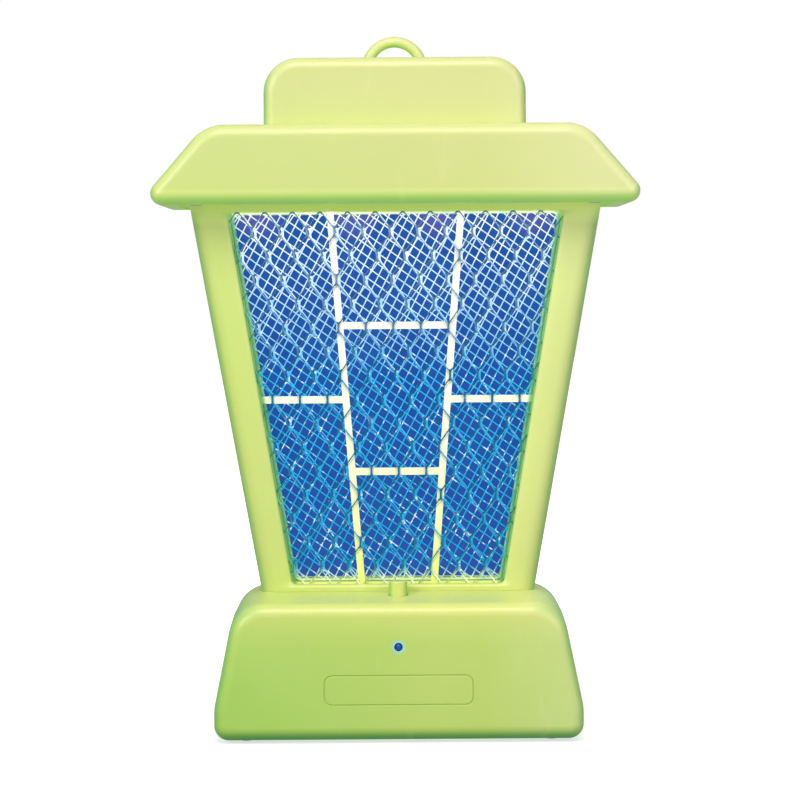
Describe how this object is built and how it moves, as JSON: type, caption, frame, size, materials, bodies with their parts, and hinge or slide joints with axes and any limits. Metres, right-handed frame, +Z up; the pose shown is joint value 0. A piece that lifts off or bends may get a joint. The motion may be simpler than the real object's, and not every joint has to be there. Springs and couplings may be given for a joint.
{
  "type": "electric bug zapper",
  "caption": "Cordless lantern-shaped electric bug zapper with a hanging loop, meshed windows, a lit blue panel, a catch tray and a push button.",
  "frame": {"origin": "centre of the feet's resting surface, under the middle of the object", "axes": "+Z up, +X to the right seen from the front, -Y towards the front, where the indicator lamp and button are"},
  "size_m": [0.2084, 0.094, 0.3038],
  "materials": {
    "lime_plastic": "satin",
    "light_bars": "satin",
    "blue_acrylic": "gloss",
    "guard_steel": "satin",
    "grid_metal": "satin",
    "circuit_board": "satin",
    "uv_lens": "gloss",
    "indicator_lens": "gloss",
    "black_plastic": "matte",
    "rubber": "matte",
    "cell_jacket": "satin",
    "contact_steel": "satin",
    "winding": "satin",
    "capacitor_film": "gloss",
    "screw_steel": "satin"
  },
  "bodies": {
    "housing": {"hanging_loop": "lime_plastic", "cap_shell": "lime_plastic", "roof_shell": "lime_plastic", "soffit_plate": "lime_plastic", "front_frame": "lime_plastic", "rear_frame": "lime_plastic", "front_grid_carrier": "lime_plastic", "rear_grid_carrier": "lime_plastic", "base_shell": "lime_plastic", "base_plate": "lime_plastic", "front_window_bars": "light_bars", "rear_window_bars": "light_bars", "light_panel": "blue_acrylic", "front_guard_mesh": "guard_steel", "rear_guard_mesh": "guard_steel", "front_fine_grid": "grid_metal", "rear_fine_grid": "grid_metal", "front_coarse_grid": "grid_metal", "rear_coarse_grid": "grid_metal", "uv_led_board": "circuit_board", "main_board": "circuit_board", "uv_led_1": "uv_lens", "uv_led_2": "uv_lens", "uv_led_3": "uv_lens", "uv_led_4": "uv_lens", "indicator_led": "indicator_lens", "push_switch": "black_plastic", "rubber_foot_1": "rubber", "rubber_foot_2": "rubber", "rubber_foot_3": "rubber", "rubber_foot_4": "rubber", "battery_cell_1": "cell_jacket", "battery_cell_2": "cell_jacket", "battery_cell_3": "cell_jacket", "battery_cell_4": "cell_jacket", "front_contact_strip": "contact_steel", "rear_contact_strip": "contact_steel", "button_spring": "contact_steel", "hv_transformer": "winding", "hv_capacitor": "capacitor_film", "base_plate_screw_1": "screw_steel", "base_plate_screw_2": "screw_steel", "base_plate_screw_3": "screw_steel", "base_plate_screw_4": "screw_steel", "frame_screw_1": "screw_steel", "frame_screw_2": "screw_steel", "frame_screw_3": "screw_steel", "frame_screw_4": "screw_steel", "roof_screw_1": "screw_steel", "roof_screw_2": "screw_steel", "roof_screw_3": "screw_steel", "roof_screw_4": "screw_steel", "cap_screw_1": "screw_steel", "cap_screw_2": "screw_steel"},
    "tray": {"catch_tray": "lime_plastic"},
    "door": {"battery_door": "lime_plastic"},
    "button": {"power_button": "lime_plastic"}
  },
  "joints": [
    {"name": "tray_slide", "type": "slide", "parent": "housing", "child": "tray", "axis": [0, 1, 0], "range_m": [0, 0.058]},
    {"name": "battery_door_hinge", "type": "hinge", "parent": "housing", "child": "door", "pos_m": [0, 0.0298, 0.0026], "axis": [1, 0, 0], "range_deg": [0, 90]},
    {"name": "power_button_press", "type": "slide", "parent": "housing", "child": "button", "axis": [0, 0, -1], "range_m": [0, 0.0022], "stiffness_N_per_m": 500, "springref_m": -0.001, "deforming": ["button_spring"]}
  ]
}
